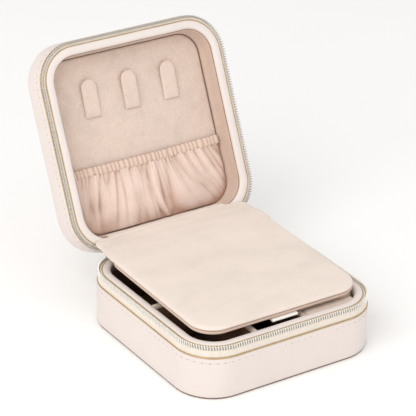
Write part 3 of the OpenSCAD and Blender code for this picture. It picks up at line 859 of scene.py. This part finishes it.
def pocket_face(u, v, t=0.0):
    """v 0 at the hem, 1 at the foot; tight gathers open into wide folds that lean to the right."""
    top = HEM_Y + 4.4
    y = top + (FOOT_Y - top) * v
    side = 2 * u - 1
    x = side * pocket_half(min(y, FOOT_Y))
    k = x - (15 * ease(x, -8, 42) - 6 * ease(-x, 4, 46)) * v
    tight = abs(noise.noise(Vector((k / 2.3, v * 0.6, 11)))) ** 0.7
    fold = min(1.0, 2.0 * abs(noise.noise(Vector((k / 6.0, v * 0.8, 3))))) ** 0.85
    wide = noise.noise(Vector((k / 11, v * 1.2, 7)))
    billow = noise.noise(Vector((x / 12, y / 9, 15)))
    seam = k - 1.5 - 2.5 * v + 1.5 * math.sin(v * 3)
    long = math.exp(-(seam / 1.0) ** 2) - 1.1 * math.exp(-((seam + 2.0) / 0.9) ** 2)
    rise = (0.9 + 1.3 * math.sin(math.pi * (0.15 + v * 0.6)) + 2.6 * tight * math.exp(-v * 3.0)
            + 3.3 * fold * math.exp(-((v - 0.28) / 0.55) ** 2) + 2.0 * wide * ease(v, 0.05, 0.4)
            + 1.2 * billow * ease(v, 0.2, 0.6) + 1.5 * long * ease(v, 0.08, 0.3))
    rise = 4.8 * math.tanh(max(0.85, rise) / 4.6) * (1 - 0.25 * v ** 7) * (1 - 0.75 * abs(side) ** 26)
    return Vector((x, y + 0.7 * math.cos(side * 1.5) * (1 - v), PANEL_Z - rise + t))


pocket = slab("pocket", pocket_face, lambda u, v: pocket_face(u, v, 0.45), 300, 70, M_LID, POCKET_SHADED_V)
add(pocket, "lid", "pocket_velvet", "pocket_panel")


def hem_face(u, v):
    """Closed tube section turned by v; ruched along u."""
    side = 2 * u - 1
    x = side * HEM_HALF
    a = 2 * math.pi * v
    k = x * 1.12 + 1.6 * noise.noise(Vector((x / 7, 0, 4)))
    crimp = abs(math.sin(k)) ** 0.7 * (0.85 + 0.3 * noise.noise(Vector((x / 3, 1, 9))))
    # the section is squarer than a circle
    dy, dz = (math.copysign(abs(f(a)) ** 0.62, f(a)) for f in (math.cos, math.sin))
    y = HEM_Y + 2.4 + 2.55 * dy * (0.9 + 0.12 * crimp) + 0.7 * math.cos(side * 1.5)
    z = HEM_Z - 0.9 * dz * (0.6 + 0.8 * crimp) - 0.75 * crimp
    return Vector((x + 0.3 * math.cos(a), y, z))


def hem():
    """The tube, closed at both ends."""
    nu, nv = 420, 20
    verts = [tuple(hem_face(i / nu, j / nv)) for i in range(nu + 1) for j in range(nv)]
    return finish_mesh("pocket_hem_ruched", verts, sleeve(nu + 1, nv), M_LID, HEM_SHADED_V)


add(hem(), "lid", "pocket_velvet", "pocket_hem", "pocket_elastic")


# ---------------------------------------------------------------- padded flap and its strip

PW, PD, PR = 99.2, 96.0, 13.5      # width, depth and corner radius of the flap


def flap_warp(x, y, z):
    """Slight waves in the velvet on top."""
    if z > 4:
        z += 0.12 * noise.noise(Vector((x / 16, y / 16, 1)))
    return (x, y, z)


low = [(9, 1.95), (1.5, 1.95), (0.5, 1.9), (0.1, 1.6), (0.0, 1.2), (0.12, 0.7), (0.5, 0.3),
       (1.2, 0.08), (2.4, 0.02), (8, 0.0), (13, 0.0)]
under = stack("flap_underside", low, M_PAD, PAD_EDGE, PW, PD, PR, cy=-PD / 2, nc=14, ns=10)
add(under, "pad", "pad_velvet", "pad_bottom_cover")

high = [(9, 2.34), (1.4, 2.34), (0.5, 2.36), (0.06, 2.6), (-0.1, 3.0), (0.1, 3.55), (0.5, 4.0),
        (1.15, 4.28), (2.2, 4.42), (4, 4.48), (7, 4.52), (10, 4.53)]
top = stack("flap_top", high, M_PAD, PAD_V, PW, PD, PR, cy=-PD / 2, nc=14, ns=16, warp=flap_warp,
            rb=4.0, fill=26)
add(top, "pad", "pad_velvet", "pad_top_cover")

seam = [(1.0, 1.9), (0.85, 2.15), (1.0, 2.4)]
add(stack("flap_seam", seam, M_PAD, CARD, PW, PD, PR, cy=-PD / 2, nc=14, ns=10), "pad", "card")

# the hinge strip as (y, z): from under the flap, over the collar and down inside the open lid
STRIP_N = 66
STRIP_SPLIT = 30    # where the stretch under the flap meets the one that goes down inside the lid
STRIP = smooth_line([(36.4, 37.9), (40.0, 38.1), (43.6, 38.33), (46.0, 38.42), (48.5, 38.44),
                     (52.0, 38.40), (56.0, 38.40), (59.5, 38.45), (62.0, 38.40), (64.4, 37.75),
                     (67.0, 36.5), (69.0, 35.2)], STRIP_N)


def strip_half(y):
    """Half width: full at the flap, rounded ears at the rim, then narrow inside the lid."""
    if y < 56:
        return 49.9 - 1.2 * ease(y, 42, 53)
    if y < 60.8:
        return 45 + 3.7 * math.sqrt(max(0.0, 1 - ((y - 56) / 4.8) ** 2))
    return max(37.4 - (y - 61) * 0.15, 45 - (y - 60.8) * 22)


def strip_face(u, row, t):
    """Row of STRIP and place u across it, t below the top face."""
    y, z = STRIP[row]
    side = 2 * u - 1
    x = side * strip_half(y)
    k = max(0.0, min(1.0, (y - 45) / 5)) * min(1.0, (69.5 - y) / 5)
    crease_y = 60.2 + 0.02 * x - 0.7 * noise.noise(Vector((x / 19, 0, 3)))
    crease = 0.32 * math.exp(-((y - crease_y) / 0.7) ** 2)
    z += k * (0.35 * noise.noise(Vector((x / 15, y / 9, 6)))
              + 0.15 * noise.noise(Vector((x / 5, y / 5, 9))) - crease)
    z -= 0.9 * max(0.0, abs(side) - 0.97) / 0.03 * (0.35 + 0.4 * k)
    return Vector((x, y, z - t))


def strip_piece(name, n0, n1):
    """The stretch of the strip between two rows."""
    def face(t):
        return lambda u, v: strip_face(u, round(n0 + (n1 - n0) * v), t)
    return slab(name, face(0.0), face(0.75), 110, n1 - n0, M_BASE, PAD_V)


near = strip_piece("flap_strip_near", 0, STRIP_SPLIT)
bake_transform(near)
far = strip_piece("flap_strip_far", STRIP_SPLIT, STRIP_N)
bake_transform(far)
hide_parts("pad_hinge_strip")


TAB_W = 15.5
TAB_LOOP = smooth_line([(-90.3, -0.12), (-94, -0.1), (-96.2, -0.1), (-96.75, -0.3), (-96.95, -0.85),
                        (-96.75, -1.4), (-96.2, -1.62), (-94, -1.6), (-90.3, -1.55)], 24)


def tab_face(u, j):
    """Folded leather loop under the front edge: j counts round its closed section."""
    x = (u - 0.5) * TAB_W
    y, z = TAB_LOOP[j]
    return Vector((x, y + 0.05 * noise.noise(Vector((x / 3, z, 1))),
                   z + 0.04 * noise.noise(Vector((x / 4, y, 5)))))


def tab():
    """The loop, closed at both sides."""
    nu, nv = 24, len(TAB_LOOP)
    verts = [tuple(tab_face(i / nu, j)) for i in range(nu + 1) for j in range(nv)]
    return finish_mesh("pull_tab_loop", verts, sleeve(nu + 1, nv), M_PAD, TAB)


add(tab(), "pull_tab", "tab_leather", "pad_pull_tab")
